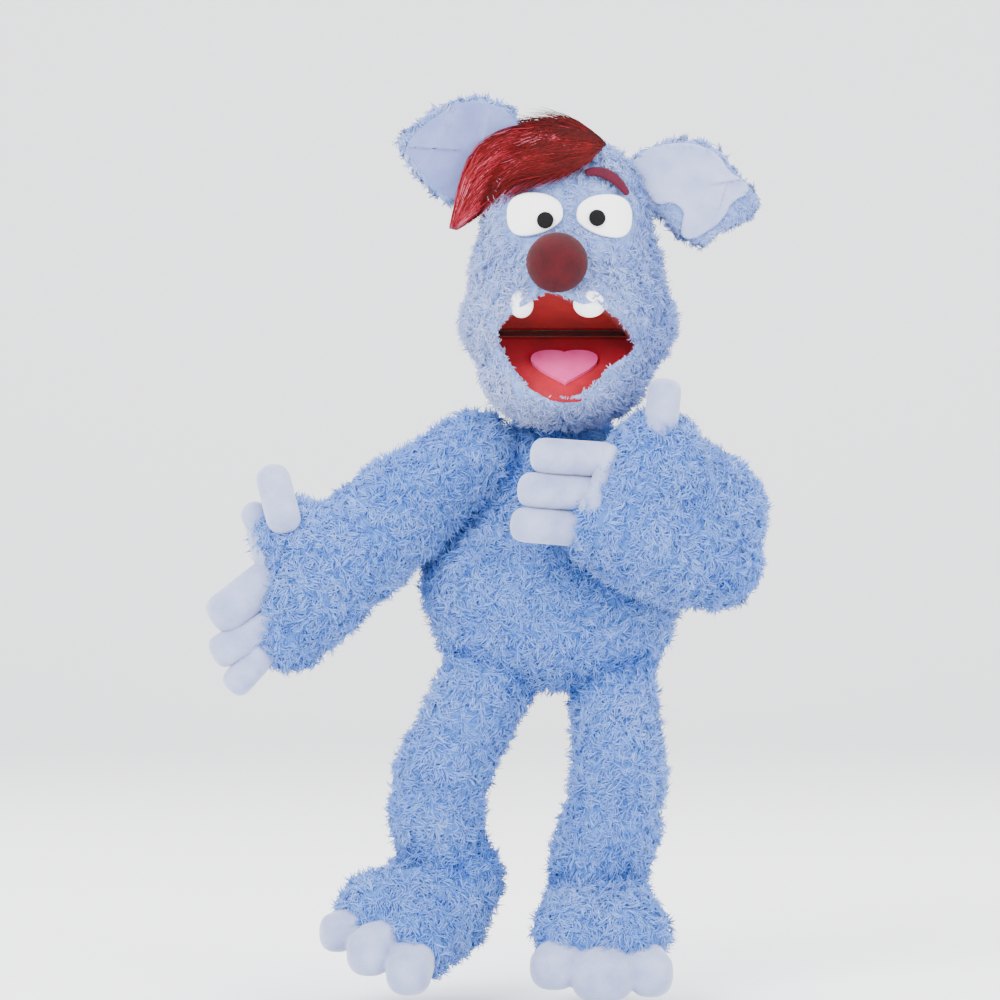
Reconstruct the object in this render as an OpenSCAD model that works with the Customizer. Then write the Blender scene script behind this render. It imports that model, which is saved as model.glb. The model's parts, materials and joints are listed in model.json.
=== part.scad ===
// Moving mouth puppet: a soft long-haired monster with a hand-worked mouth and glove hands.
// The puppet faces -Y and hangs upright. Heights are first written above the soles of the
// feet, then placed() moves the whole model so that the hand opening is the origin.
// Left and right are the puppet's own: its right side is at -X.

/* [Plush] */
// Thickness of the plush cloth with its backing
skin_wall = 5; // [4:0.5:6]
// Room left between two bodies that turn on each other
joint_gap = 0.8; // [0.6:0.1:1.2]
// Room between a skin and the filling inside it
fill_gap = 0.2; // [0.1:0.1:0.4]

/* [Head] */
// Sideways place of the middle of the head
head_x = 5; // [0:1:10]
// Radius of the skull
skull_r = 58; // [54:1:59]
// Half width of the muzzle over the cheeks
muzzle_w = 78; // [74:1:80]
// Radius of the nose
nose_r = 20; // [16:1:22]

/* [Mouth] */
// Height of the mouth fold above the soles
mouth_z = 476; // [474:1:478]
// Half width of the mouth at the fold
mouth_w = 48; // [44:1:50]
// Length of the palate from the fold to the lip
palate_length = 76; // [72:1:78]
// Slope of the palate above level
palate_rise = 23; // [20:1:25]
// Slope of the mouth floor below level
floor_drop = 37; // [35:1:40]

/* [Hand opening] */
// Inner radius of the cuff that the hand goes in through
cuff_r = 42; // [40:1:44]
// Length of the cuff
cuff_length = 42; // [36:1:44]

/* [Arms] */
// Radius of the upper arm at the shoulder
shoulder_r = 33; // [30:1:34]
// Radius of the sleeve at the elbow
elbow_r = 39; // [36:1:40]

/* [Legs] */
// Radius of the thigh
thigh_r = 34; // [30:1:35]
// Radius of the shin at the ankle
ankle_r = 30; // [26:1:31]
// Radius of a toe
toe_r = 16.5; // [14:0.5:16.5]

/* [Hidden] */

soft_fn = 24;
round_fn = 48;
mouth_y = 2;
cuff_y = 40;
cuff_z = 478;
cuff_wall = 4;
board_t = 2;
lining_t = 1.6;
fold_gap = 3;
fold_r = 2.4;
jaw_room_r = 56;
skull = [head_x, 5, 562];
brow = [head_x, 0, 522];
muzzle = [head_x, -8, 490];
nape = [head_x, 42, 468];
nose_at = [-3, -74, 531];
eye_y = -48;
neck_at = [2, 40, 410];
neck_r = 20;
chest = [0, 36, 374];
belly = [-3, 24, 290];
seat = [-3, 24, 256];
wad_r = 19;

// Each arm: shoulder, elbow, middle of the hand, and the two edges of the mitt.
SHOULDER = [[-68, 10, 380], [68, 10, 380]];
ELBOW = [[-142, -10, 332], [115, -30, 306]];
MITT = [[[-198, -20, 324], [-180, -22, 280]], [[58, -66, 366], [36, -68, 340]]];
ELBOW_AXIS = [[0, 1, 0], [-0.61, 0.48, -0.63]];
ELBOW_RANGE = [[-15, 35], [-40, 4]];
MITT_R = [30, 30];
// The slit that a helper's hand goes in through: its middle and the way out of it.
SLIT_AT = [[-160, -14, 320], [112, -32, 308]];
SLIT_WAY = [[0, 1, 0], [1, 0, 0]];
slit_r = 18;
PALM_PAD = [[-225, -22, 350], [47, -26, 362]];

// Each finger: root, tip and radius; thumb, index, middle and little finger in turn.
FINGERS = [
    [
        [[-198, -22, 352], [-204, -26, 367], 11.5],
        [[-221, -22, 298], [-237, -26, 284], 16.5],
        [[-209, -24, 265], [-237, -28, 250.5], 12.4],
        [[-188, -24, 243], [-226, -28, 227], 10.5]
    ],
    [
        [[68, -72, 399], [72, -76, 430], 11.5],
        [[20, -72, 384], [-6, -76, 387], 11.8],
        [[10, -72, 359], [-16, -76, 362], 11.8],
        [[6, -72, 334], [-20, -76, 337], 11.8]
    ]
];

// Each leg: hip, knee, ankle and the three balls that shape the foot.
HIP = [[-44, 12, 232], [38, 12, 228]];
KNEE = [[-84, 0, 162], [40, 2, 156]];
ANKLE = [[-90, 4, 98], [32, 6, 92]];
FOOT = [
    [[-76, 6, 80], [-136, -30, 58], [-100, -46, 38]],
    [[32, 14, 68], [4, -44, 50], [54, -44, 46]]
];
FOOT_R = [30, 26, 26];
TOES = [
    [[-161, -48, 46], [-136, -64, 35], [-107, -78, 21]],
    [[-8, -64, 23], [28, -72, 17], [64, -64, 19]]
];

// Each ear: outline points across and up, from the root round past the tip.
EARS = [
    [[-34, 632], [-66, 640], [-100, 624], [-113, 604], [-90, 576], [-72, 568]],
    [[60, 608], [92, 614], [114, 608], [142, 578], [128, 557], [98, 544], [76, 556]]
];
EAR_Y = 12;
EAR_R = 5.5;
// Travel of the knees from the pose at rest, in degrees.
KNEE_RANGE = [-5, 60];

// Moves the model so that the middle of the hand opening is the origin.
module placed() {
    translate([-head_x, -cuff_y - cuff_length, -cuff_z]) children();
}

// Turns the children's Z axis to run from one point to another.
module along(start, finish) {
    v = finish - start;
    translate(start) rotate([0, acos(v[2] / norm(v)), atan2(v[1], v[0])]) children();
}

// Half outline of a round-ended limb: a ball of one radius blending to a ball of another.
function limb_outline(length, r_start, r_end, steps = 7) =
    let (tilt = asin((r_start - r_end) / length))
    concat(
        [[0, -r_start]],
        [for (i = [1:steps]) let (a = -90 + i * (90 + tilt) / steps) [r_start * cos(a), r_start * sin(a)]],
        [for (i = [0:steps - 1]) let (a = tilt + i * (90 - tilt) / steps)
            [r_end * cos(a), length + r_end * sin(a)]],
        [[0, length + r_end]]
    );

// A round-ended limb between two points.
module limb(start, finish, r_start, r_end) {
    length = norm(finish - start);
    along(start, finish) rotate_extrude($fn = round_fn) polygon(limb_outline(length, r_start, r_end));
}

module ball(at, r) {
    translate(at) sphere(r = r, $fn = round_fn);
}

// The straight part of a limb that swings about its start, for cutting its room.
module swing_room(start, finish, r_start, r_end) {
    along(start, finish) cylinder(r1 = r_start, r2 = r_end, h = norm(finish - start), $fn = round_fn);
}

// A ball stretched to three half sizes, for use inside a hull.
module egg(at, half) {
    translate(at) scale(half) sphere(r = 1, $fn = soft_fn);
}

// Turns the children about a point and an axis, as a joint does.
module turned(angle, axis, at) {
    translate(at) rotate(a = angle, v = axis) translate(-at) children();
}

// The frame of the palate or the mouth floor: X across, -Y towards the lip, Z off the fold.
module mouth_frame(slope) {
    translate([head_x, mouth_y, mouth_z]) rotate([slope, 0, 0]) children();
}

// Half oval of the mouth lining, its straight side on the fold.
module mouth_oval(inset) {
    polygon([for (i = [0:24]) let (a = 180 + i * 180 / 24)
        [(mouth_w - inset) * cos(a), (palate_length - inset) * sin(a) - fold_gap]]);
}

// ---- head ----

module head_form(inset) {
    hull() {
        egg(skull, [skull_r - inset, skull_r - inset, skull_r - inset]);
        egg(brow, [71 - inset, 67 - inset, 40 - inset]);
        egg(muzzle, [muzzle_w - inset, 76 - inset, 44 - inset]);
        egg(nape, [56 - inset, 28 - inset, 50 - inset]);
    }
}

// The open mouth and the room that the jaw swings in, under a palate lining of the given thickness.
module jaw_room(above) {
    difference() {
        union() {
            mouth_frame(-palate_rise) translate([-100, -160, -160]) cube([200, 160, 160 + above]);
            translate([head_x - 100, mouth_y, mouth_z]) rotate([0, 90, 0])
                cylinder(r = jaw_room_r, h = 200, $fn = round_fn);
        }
        mouth_frame(-palate_rise) translate([-101, -100, above]) cube([202, 200, 100]);
    }
}

// The way in for the hand, and the seats of the nose, the neck and the eyes.
module head_seats() {
    translate([head_x, 10, cuff_z]) rotate([-90, 0, 0])
        cylinder(r = cuff_r + cuff_wall + fill_gap, h = 120, $fn = round_fn);
    ball(nose_at, nose_r + fill_gap);
    ball(neck_at, neck_r + joint_gap);
    for (side = [-1, 1]) eye_seat(side, 17 + fill_gap, 30);
}

module head_skin() {
    color([0.69, 0.75, 0.88]) placed() difference() {
        head_form(0);
        head_form(skin_wall);
        jaw_room(fold_gap);
        head_seats();
        mouth_frame(-palate_rise) translate([0, 0, -1]) linear_extrude(8.6) mouth_oval(-fill_gap);
    }
}

module head_foam() {
    color([0.93, 0.9, 0.78]) placed() difference() {
        head_form(skin_wall + fill_gap);
        jaw_room(fold_gap + lining_t + board_t + 0.3);
        head_seats();
        mouth_frame(-palate_rise) pocket_block(43, -60, 34, 6);
    }
}

// A block that reaches back out of the head, half_w to each side, from front to well behind.
module pocket_block(half_w, front, height, base) {
    translate([-half_w, front, base]) cube([2 * half_w, 60 - front, height - base]);
}

module palate() {
    color([0.6, 0.07, 0.1]) placed() mouth_frame(-palate_rise) translate([0, 0, fold_gap])
        linear_extrude(lining_t) mouth_oval(0);
}

module palate_board() {
    color([0.75, 0.68, 0.55]) placed() mouth_frame(-palate_rise)
        translate([0, 0, fold_gap + lining_t + 0.1]) linear_extrude(board_t) mouth_oval(4);
}

// A flat cloth pocket on the inner side of a mouth board, open towards the wrist.
module pocket(half_w, front, back, height) {
    wall = 2;
    difference() {
        translate([-half_w, front, 0]) cube([2 * half_w, back - front, height]);
        translate([wall - half_w, front + wall, wall])
            cube([2 * (half_w - wall), back - front, height - 2 * wall]);
    }
}

module finger_pocket() {
    color([0.35, 0.37, 0.42]) placed() mouth_frame(-palate_rise) translate([0, 0, 8])
        pocket(42, -58, 4, 25);
}

module hand_cuff() {
    color([0.35, 0.37, 0.42]) placed() translate([head_x, cuff_y, cuff_z]) rotate([-90, 0, 0])
        difference() {
            cylinder(r = cuff_r + cuff_wall, h = cuff_length, $fn = round_fn);
            translate([0, 0, -1]) cylinder(r = cuff_r, h = cuff_length + 2, $fn = round_fn);
        }
}

module mouth_fold() {
    color([0.6, 0.07, 0.1]) placed() translate([head_x - mouth_w, mouth_y, mouth_z]) rotate([0, 90, 0])
        cylinder(r = fold_r, h = 2 * mouth_w, $fn = round_fn);
}

module nose() {
    color([0.58, 0.16, 0.2]) placed() ball(nose_at, nose_r);
}

// A round seat for an eye, square to the front of the skull.
module eye_seat(side, r, depth) {
    translate([head_x - 4 + side * 25, eye_y, 561]) rotate([90, 0, side * 14])
        translate([0, 0, -6]) cylinder(r = r, h = depth, $fn = round_fn);
}

module eye(side) {
    color([0.96, 0.96, 0.95]) placed() eye_seat(side, 17, 9);
}
module eye_right() { eye(-1); }
module eye_left() { eye(1); }

module pupil(side) {
    color([0.03, 0.03, 0.03]) placed() translate([head_x - 4 + side * 25, eye_y, 561])
        rotate([90, 0, side * 14]) translate([side * -7, -3, 3.05])
            cylinder(r = 6, h = 1.4, $fn = round_fn);
}
module pupil_right() { pupil(-1); }
module pupil_left() { pupil(1); }

module eyebrow_form(side, extra) {
    translate([head_x - 1 + side * 28, -55, 585]) rotate([0, side * 22, side * 26])
        translate([-16 - extra, -1.5 - extra, -4 - extra]) cube([32, 2.5, 9] + 2 * extra * [1, 1, 1]);
}
module eyebrow(side) {
    color([0.47, 0.06, 0.2]) placed() eyebrow_form(side, 0);
}
module eyebrow_right() { eyebrow(-1); }
module eyebrow_left() { eyebrow(1); }

// A rounded felt tooth hanging from the upper lip, turned to follow the lip there.
module tooth(across, back, turn) {
    color([0.97, 0.97, 0.95]) placed() mouth_frame(-palate_rise) translate([across, back, fold_gap])
        rotate([0, 0, turn]) rotate([90, 0, 0]) linear_extrude(3) union() {
            translate([-9, -4]) square([18, 3.9]);
            intersection() {
                translate([0, -4]) circle(r = 9, $fn = round_fn);
                translate([-9, -10]) square([18, 6]);
            }
        }
}
module tooth_right() { tooth(-35, -58, -30); }
module tooth_left() { tooth(17, -72, 16); }

// A swept lock of long pile, from the crown down past the right temple.
module hair_tuft() {
    points = [[26, -40, 612], [-4, -52, 612], [-36, -54, 594], [-62, -50, 572], [-74, -48, 556]];
    radii = [7, 12, 14, 9, 4];
    color([0.6, 0.08, 0.12]) placed() difference() {
        for (i = [0:3]) hull() {
            translate(points[i]) sphere(r = radii[i], $fn = 16);
            translate(points[i + 1]) sphere(r = radii[i + 1], $fn = 16);
        }
        head_form(-0.3);
        eyebrow_form(-1, 0.3);
    }
}

// ---- jaw ----

module jaw_form(inset) {
    hull() for (side = [-1, 1]) {
        egg([side * 46, -12, -23], [20 - inset, 20 - inset, 20 - inset]);
        egg([side * 39, -38, -25], [22 - inset, 22 - inset, 22 - inset]);
        egg([side * 20, -58, -20], [18 - inset, 18 - inset, 18 - inset]);
    }
}

module below_floor(depth) {
    translate([-100, -100, -100 - depth]) cube([200, 200, 100]);
}

module jaw_skin() {
    color([0.66, 0.73, 0.87]) placed() mouth_frame(floor_drop) difference() {
        intersection() {
            jaw_form(0);
            below_floor(fold_gap);
        }
        intersection() {
            jaw_form(skin_wall);
            below_floor(0);
        }
        translate([0, 0, -fold_gap - 6]) linear_extrude(20) mouth_oval(-fill_gap);
        translate([-38, -12, -60]) cube([76, 60, 80]);
    }
}

module jaw_foam() {
    color([0.93, 0.9, 0.78]) placed() mouth_frame(floor_drop) difference() {
        intersection() {
            jaw_form(skin_wall + fill_gap);
            below_floor(fold_gap + lining_t + board_t + 0.3);
        }
        translate([-20, -54, -34]) cube([40, 90, 27.5]);
    }
}

module mouth_floor() {
    color([0.84, 0.06, 0.16]) placed() mouth_frame(floor_drop) translate([0, 0, -fold_gap - lining_t])
        linear_extrude(lining_t) mouth_oval(0);
}

module mouth_floor_board() {
    color([0.75, 0.68, 0.55]) placed() mouth_frame(floor_drop)
        translate([0, 0, -fold_gap - lining_t - board_t - 0.1]) linear_extrude(board_t) mouth_oval(4);
}

// A heart-shaped felt tongue lying on the mouth floor, its notch towards the fold.
module tongue() {
    color([0.87, 0.47, 0.65]) placed() mouth_frame(floor_drop) translate([-2, -36, -fold_gap + 0.05])
        linear_extrude(2.4) polygon([for (t = [0:9:351])
            [24 * pow(sin(t), 3), 21 * cos(t) - 6 * cos(2 * t) - 2 * cos(3 * t)]]);
}

module thumb_pocket() {
    color([0.35, 0.37, 0.42]) placed() mouth_frame(floor_drop) translate([0, 0, -33.5])
        pocket(19, -50, 2, 26);
}

// ---- ears ----

// A flat cushion through the outline points, kept clear of the skull.
module ear_form(outline, r, shift) {
    difference() {
        hull() for (p = outline) translate([p[0], EAR_Y + shift, p[1]]) sphere(r = r, $fn = 16);
        head_form(-3);
    }
}
module ear_back(i) {
    color([0.62, 0.7, 0.86]) placed() ear_form(EARS[i], EAR_R, 0);
}
module ear_lining(i) {
    color([0.78, 0.79, 0.87]) placed() ear_form(EARS[i], 1.5, -EAR_R - 1.7);
}
module ear_back_right() { ear_back(0); }
module ear_back_left() { ear_back(1); }
module ear_lining_right() { ear_lining(0); }
module ear_lining_left() { ear_lining(1); }

// ---- neck and torso ----

module neck_collar() {
    color([0.55, 0.65, 0.84]) placed() ball(neck_at, neck_r);
}

module torso_form(inset) {
    hull() {
        egg(chest, [38 - inset, 28 - inset, 30 - inset]);
        egg(belly, [90 - inset, 56 - inset, 58 - inset]);
        egg(seat, [76 - inset, 42 - inset, 38 - inset]);
    }
}

// The seats of the neck, the shoulders and the hips.
module torso_seats(extra) {
    ball(neck_at, neck_r + extra);
    for (i = [0:1]) {
        ball(SHOULDER[i], shoulder_r + extra + 1.6);
        swing_room(SHOULDER[i], ELBOW[i], shoulder_r + extra + 1.2, elbow_r + extra + 10);
        ball(HIP[i], thigh_r + extra + 1.2);
        swing_room(HIP[i], KNEE[i], thigh_r + extra + 0.3, thigh_r + extra + 12);
    }
}

module torso_skin() {
    color([0.57, 0.67, 0.86]) placed() difference() {
        torso_form(0);
        torso_form(skin_wall);
        torso_seats(joint_gap);
    }
}

module torso_filling() {
    color([0.95, 0.95, 0.93]) placed() difference() {
        torso_form(skin_wall + fill_gap);
        torso_seats(joint_gap + 0.2);
    }
}

// ---- arms ----

module shoulder_wadding(i) {
    color([0.95, 0.95, 0.93]) placed() ball(SHOULDER[i], wad_r);
}
module shoulder_wadding_right() { shoulder_wadding(0); }
module shoulder_wadding_left() { shoulder_wadding(1); }

// The upper arm with room for the elbow end of the glove at both ends of its travel.
module upper_arm(i, inset) {
    difference() {
        limb(SHOULDER[i], ELBOW[i], shoulder_r - inset, elbow_r - 1 - inset);
        ball(ELBOW[i], elbow_r + joint_gap + 1.6);
        for (angle = ELBOW_RANGE[i])
            turned(angle, ELBOW_AXIS[i], ELBOW[i])
                swing_room(ELBOW[i], (MITT[i][0] + MITT[i][1]) / 2, elbow_r + joint_gap + 0.4, 64);
        children();
    }
}

module upper_arm_skin(i) {
    color([0.58, 0.68, 0.87]) placed() upper_arm(i, 0)
        limb(SHOULDER[i], ELBOW[i], shoulder_r - skin_wall, elbow_r - 1 - skin_wall);
}
module upper_arm_filling(i) {
    color([0.95, 0.95, 0.93]) placed() upper_arm(i, skin_wall + fill_gap)
        ball(SHOULDER[i], wad_r + joint_gap);
}
module upper_arm_skin_right() { upper_arm_skin(0); }
module upper_arm_skin_left() { upper_arm_skin(1); }
module upper_arm_filling_right() { upper_arm_filling(0); }
module upper_arm_filling_left() { upper_arm_filling(1); }

module glove_form(i, inset) {
    hull() {
        translate(ELBOW[i]) sphere(r = elbow_r - inset, $fn = 32);
        for (p = MITT[i]) translate(p) sphere(r = MITT_R[i] - inset, $fn = 32);
    }
}

// The hollow forearm and mitt, with a slit near the elbow for the hand to go in.
module glove(i) {
    color([0.6, 0.7, 0.88]) placed() difference() {
        glove_form(i, 0);
        glove_form(i, skin_wall);
        along(SLIT_AT[i], SLIT_AT[i] + 60 * SLIT_WAY[i]) cylinder(r = slit_r, h = 60, $fn = round_fn);
        for (f = FINGERS[i]) {
            ball(f[0], f[2] + joint_gap + 0.5);
            swing_room(f[0], f[1], f[2] + joint_gap - 0.3, f[2] + joint_gap + 12);
        }
    }
}
module glove_right() { glove(0); }
module glove_left() { glove(1); }

// A small cushion of bare lining where the palm shows past the mitt.
module palm_pad(i) {
    color([0.78, 0.79, 0.87]) placed() ball(PALM_PAD[i], 7);
}
module palm_pad_right() { palm_pad(0); }
module palm_pad_left() { palm_pad(1); }

module finger(i, n) {
    f = FINGERS[i][n];
    color([0.78, 0.79, 0.87]) placed() limb(f[0], f[1], f[2], f[2]);
}
module thumb_right() { finger(0, 0); }
module index_finger_right() { finger(0, 1); }
module middle_finger_right() { finger(0, 2); }
module little_finger_right() { finger(0, 3); }
module thumb_left() { finger(1, 0); }
module index_finger_left() { finger(1, 1); }
module middle_finger_left() { finger(1, 2); }
module little_finger_left() { finger(1, 3); }

// ---- legs ----

// The thigh with room for the top of the shin at both ends of its travel.
module thigh(i, inset) {
    difference() {
        limb(HIP[i], KNEE[i], thigh_r - inset, thigh_r - 1 - inset);
        ball(KNEE[i], thigh_r + joint_gap + 0.2);
        for (angle = KNEE_RANGE)
            turned(angle, [1, 0, 0], KNEE[i])
                swing_room(KNEE[i], ANKLE[i], thigh_r + joint_gap - 0.2, ankle_r + joint_gap + 1);
        children();
    }
}
module thigh_skin(i) {
    color([0.57, 0.67, 0.86]) placed() thigh(i, 0)
        limb(HIP[i], KNEE[i], thigh_r - skin_wall, thigh_r - 1 - skin_wall);
}
module thigh_filling(i) {
    color([0.95, 0.95, 0.93]) placed() thigh(i, skin_wall + fill_gap);
}
module thigh_skin_right() { thigh_skin(0); }
module thigh_skin_left() { thigh_skin(1); }
module thigh_filling_right() { thigh_filling(0); }
module thigh_filling_left() { thigh_filling(1); }

module shin_skin(i) {
    color([0.58, 0.68, 0.87]) placed() difference() {
        limb(KNEE[i], ANKLE[i], thigh_r, ankle_r);
        limb(KNEE[i], ANKLE[i], thigh_r - skin_wall, ankle_r - skin_wall);
    }
}
module shin_filling(i) {
    color([0.95, 0.95, 0.93]) placed()
        limb(KNEE[i], ANKLE[i], thigh_r - skin_wall - fill_gap, ankle_r - skin_wall - fill_gap);
}
module shin_skin_right() { shin_skin(0); }
module shin_skin_left() { shin_skin(1); }
module shin_filling_right() { shin_filling(0); }
module shin_filling_left() { shin_filling(1); }

module foot_skin(i) {
    color([0.57, 0.67, 0.86]) placed() difference() {
        hull() for (n = [0:2]) translate(FOOT[i][n]) sphere(r = FOOT_R[n], $fn = 28);
        ball(ANKLE[i], ankle_r + joint_gap + 0.4);
        translate(ANKLE[i] + [-80, -80, -8]) cube(160);
        for (at = TOES[i]) ball(at, toe_r + fill_gap);
    }
}
module foot_skin_right() { foot_skin(0); }
module foot_skin_left() { foot_skin(1); }

module toes(i) {
    color([0.78, 0.79, 0.87]) placed() for (at = TOES[i]) ball(at, toe_r);
}
module toes_right() { toes(0); }
module toes_left() { toes(1); }

head_skin();
head_foam();
palate();
palate_board();
finger_pocket();
hand_cuff();
mouth_fold();
nose();
eye_right();
eye_left();
pupil_right();
pupil_left();
eyebrow_right();
eyebrow_left();
tooth_right();
tooth_left();
hair_tuft();
jaw_skin();
jaw_foam();
mouth_floor();
mouth_floor_board();
tongue();
thumb_pocket();
ear_back_right();
ear_back_left();
ear_lining_right();
ear_lining_left();
neck_collar();
torso_skin();
torso_filling();
shoulder_wadding_right();
shoulder_wadding_left();
upper_arm_skin_right();
upper_arm_skin_left();
upper_arm_filling_right();
upper_arm_filling_left();
glove_right();
glove_left();
palm_pad_right();
palm_pad_left();
thumb_right();
thumb_left();
index_finger_right();
index_finger_left();
middle_finger_right();
middle_finger_left();
little_finger_right();
little_finger_left();
thigh_skin_right();
thigh_skin_left();
thigh_filling_right();
thigh_filling_left();
shin_skin_right();
shin_skin_left();
shin_filling_right();
shin_filling_left();
foot_skin_right();
foot_skin_left();
toes_right();
toes_left();
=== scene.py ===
"""Looks of a furry mouth puppet. Shapes are drawn in millimetres: X across, Y back, Z above the soles."""

import json
import math

import bpy
import numpy as np
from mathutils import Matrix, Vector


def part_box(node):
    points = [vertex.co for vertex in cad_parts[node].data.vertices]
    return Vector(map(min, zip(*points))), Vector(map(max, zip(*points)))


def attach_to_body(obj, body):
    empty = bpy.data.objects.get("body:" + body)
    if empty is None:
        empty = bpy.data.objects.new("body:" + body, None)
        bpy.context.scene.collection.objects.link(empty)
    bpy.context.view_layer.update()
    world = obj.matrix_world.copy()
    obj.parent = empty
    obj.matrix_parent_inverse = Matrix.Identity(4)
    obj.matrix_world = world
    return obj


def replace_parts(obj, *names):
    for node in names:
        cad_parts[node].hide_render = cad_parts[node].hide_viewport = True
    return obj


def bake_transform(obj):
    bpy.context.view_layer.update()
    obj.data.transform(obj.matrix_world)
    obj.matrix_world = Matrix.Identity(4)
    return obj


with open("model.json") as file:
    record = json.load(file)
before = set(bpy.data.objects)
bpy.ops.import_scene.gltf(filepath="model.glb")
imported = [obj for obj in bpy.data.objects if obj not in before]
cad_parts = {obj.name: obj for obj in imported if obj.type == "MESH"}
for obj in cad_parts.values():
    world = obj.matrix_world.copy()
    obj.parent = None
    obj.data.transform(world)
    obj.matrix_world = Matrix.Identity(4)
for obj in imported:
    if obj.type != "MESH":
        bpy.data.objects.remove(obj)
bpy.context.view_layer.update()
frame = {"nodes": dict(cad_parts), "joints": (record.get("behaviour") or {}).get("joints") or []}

# The frame's origin is the middle of the hand opening, at this place in the drawing.
HAND_OPENING = np.array([5.0, 82.0, 478.0])
JOINTS = {j["name"]: j for j in frame["joints"]}
SIDES = ("right", "left")
OUTWARD = {"right": -1, "left": 1}
DOWN = np.array([0.0, 0.0, -1.0])


def to_row(points):
    """Drawing millimetres to metres in the row frame."""
    return (np.asarray(points, float) - HAND_OPENING) / 1000


def pivot(joint):
    """A joint's pivot in drawing millimetres."""
    return np.array(JOINTS[joint]["pos_m"]) * 1000 + HAND_OPENING


def middle(node):
    """The middle of a CAD node's box in drawing millimetres."""
    low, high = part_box(node)
    return np.array((low + high) / 2) * 1000 + HAND_OPENING


def unit(v):
    v = np.asarray(v, float)
    return v / np.maximum(np.linalg.norm(v, axis=-1, keepdims=True), 1e-9)


# ---- distance fields ----


def ellipsoid(p, centre, half):
    q = (p - centre) / half
    k = np.linalg.norm(q, axis=1)
    g = np.linalg.norm(q / half, axis=1)
    return k * (k - 1) / np.maximum(g, 1e-6)


def capsule(p, a, b, ra, rb):
    a, b = np.asarray(a, float), np.asarray(b, float)
    ab = b - a
    t = np.clip((p - a) @ ab / (ab @ ab), 0, 1)
    return np.linalg.norm(p - a - t[:, None] * ab, axis=1) - (ra + t * (rb - ra))


def join(a, b, k):
    """Smooth union of two fields."""
    h = np.clip(0.5 + 0.5 * (b - a) / k, 0, 1)
    return b + (a - b) * h - k * h * (1 - h)


def meet(a, b, k):
    """Smooth intersection of two fields."""
    return -join(-a, -b, k)


def joined(k, *fields):
    total = fields[0]
    for field in fields[1:]:
        total = join(total, field, k)
    return total


def outline_field(x, z, outline):
    """Signed distance in a plane to a closed outline of points."""
    pts = np.asarray(outline, float)
    q = np.stack([x, z], 1)
    best = np.full(len(q), 1e9)
    inside = np.zeros(len(q), bool)
    for a, b in zip(pts, np.roll(pts, -1, 0)):
        e, w = b - a, q - a
        t = np.clip(w @ e / (e @ e), 0, 1)
        best = np.minimum(best, ((w - t[:, None] * e) ** 2).sum(1))
        crosses = (a[1] > q[:, 1]) != (b[1] > q[:, 1])
        rise = b[1] - a[1] if b[1] != a[1] else 1e-9
        inside ^= crosses & (q[:, 0] < (q[:, 1] - a[1]) / rise * e[0] + a[0])
    return np.where(inside, -1, 1) * np.sqrt(best)


def rounded(outline, rounds):
    """A closed outline with its corners cut round."""
    pts = np.asarray(outline, float)
    for _ in range(rounds):
        after = np.roll(pts, -1, 0)
        pts = np.stack([0.75 * pts + 0.25 * after, 0.25 * pts + 0.75 * after], 1).reshape(-1, 2)
    return pts


def slope(field, p, step=0.6):
    """Unit gradient of a field."""
    g = np.stack([field(p + d) - field(p - d) for d in np.eye(3) * step], 1)
    return unit(g)


def net_points(values, grid, cells):
    """Whether each cell crosses the surface, and the middle of its crossings."""
    total, hits = np.zeros((*cells, 3)), np.zeros(cells)

    def part(c):
        return tuple(slice(c[i], c[i] + cells[i]) for i in range(3))

    for a in [(i, j, k) for i in (0, 1) for j in (0, 1) for k in (0, 1)]:
        for axis in range(3):
            if a[axis]:
                continue
            b = tuple(a[i] + (i == axis) for i in range(3))
            va, vb = values[part(a)], values[part(b)]
            cross = (va < 0) != (vb < 0)
            t = np.where(cross, va / np.where(cross, va - vb, 1), 0)
            spot = grid[part(a)] + t[..., None] * (grid[part(b)] - grid[part(a)])
            total += spot * cross[..., None]
            hits += cross
    used = hits > 0
    return used, total[used] / hits[used][:, None]


def net_quads(values, number):
    """A quad round each grid edge that crosses the surface, from the numbers of its four cells."""
    quads = []
    for axis in range(3):
        b, c = (axis + 1) % 3, (axis + 2) % 3
        here = [slice(1, -1)] * 3
        here[axis] = slice(0, -1)
        there = list(here)
        there[axis] = slice(1, None)
        va, vb = values[tuple(here)], values[tuple(there)]
        for sign, flip in ((va < 0) & (vb >= 0), False), ((va >= 0) & (vb < 0), True):
            at = np.argwhere(sign)
            at[:, b] += 1
            at[:, c] += 1
            ring = []
            for db, dc in ((-1, -1), (0, -1), (0, 0), (-1, 0)):
                cell = at.copy()
                cell[:, b] += db
                cell[:, c] += dc
                ring.append(number[tuple(cell.T)])
            quad = np.stack(ring, 1)
            quads.append(quad[:, ::-1] if flip else quad)
    return np.concatenate(quads)


def surface(field, low, high, step):
    """Vertices and quads of a field's zero surface, by surface nets."""
    low, high = np.asarray(low, float), np.asarray(high, float)
    counts = np.ceil((high - low) / step).astype(int) + 1
    axes = [low[i] + step * np.arange(counts[i]) for i in range(3)]
    grid = np.stack(np.meshgrid(*axes, indexing="ij"), -1)
    values = field(grid.reshape(-1, 3)).reshape(counts)
    used, verts = net_points(values, grid, counts - 1)
    number = np.full(counts - 1, -1)
    number[used] = np.arange(used.sum())
    for _ in range(2):
        g = np.stack([field(verts + d) - field(verts - d) for d in np.eye(3) * 0.5], 1)
        length = np.maximum(np.linalg.norm(g, axis=1), 0.5)
        move = np.clip(field(verts) / length, -0.4 * step, 0.4 * step)
        verts = verts - move[:, None] * g / length[:, None]
    return verts, net_quads(values, number)


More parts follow.
